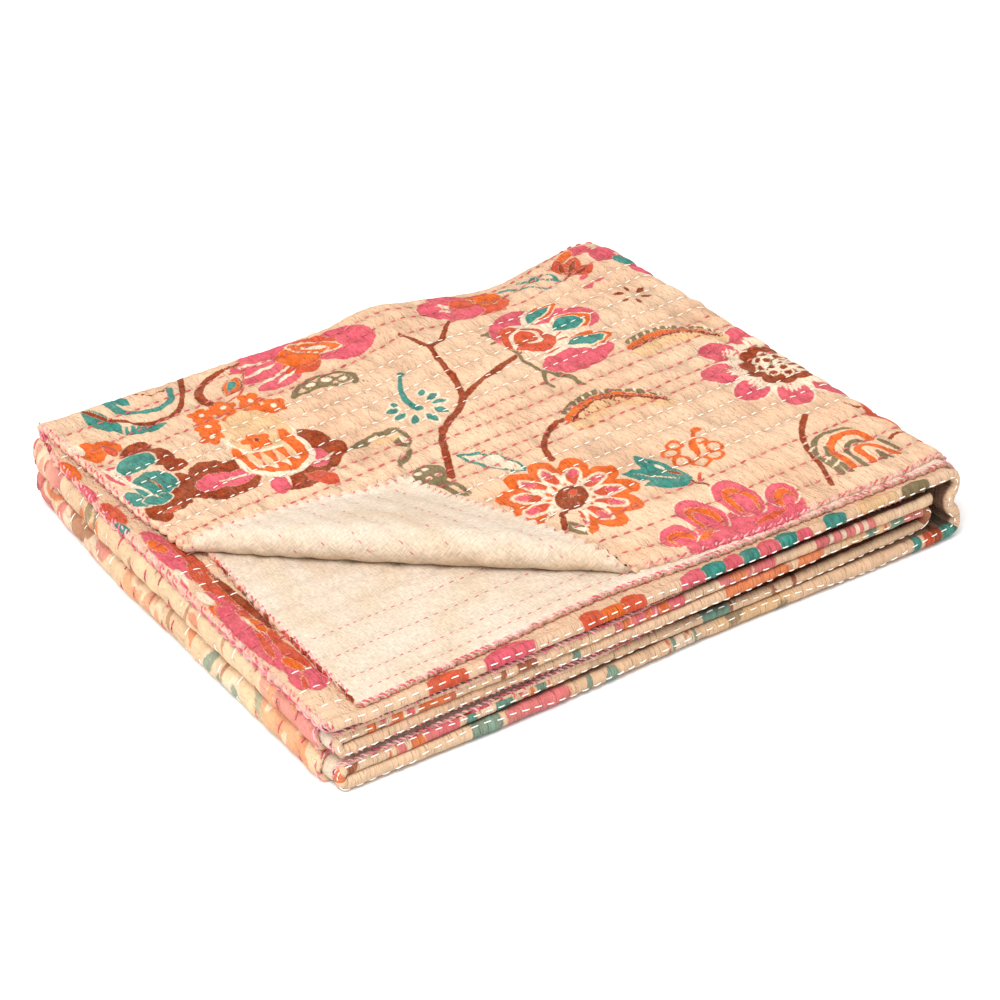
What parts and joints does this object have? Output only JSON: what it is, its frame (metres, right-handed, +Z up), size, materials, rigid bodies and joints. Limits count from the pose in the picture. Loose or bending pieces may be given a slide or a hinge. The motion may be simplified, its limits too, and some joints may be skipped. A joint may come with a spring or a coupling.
{
  "type": "folded kantha quilt",
  "caption": "Quilted cotton throw, folded lengthwise into four layers and back and forth into a flat stack, one corner of its top layer turned back to show the plain side.",
  "frame": {"origin": "centre of the base", "axes": "+X along the stack's longer side, +Y to its back, +Z up"},
  "size_m": [0.4859, 0.3974, 0.0747],
  "materials": {
    "quilted_cotton": "matt printed cotton, plain ecru back, running-stitch quilted"
  },
  "bodies": {
    "root": {"quilt": "quilted_cotton"}
  },
  "joints": []
}
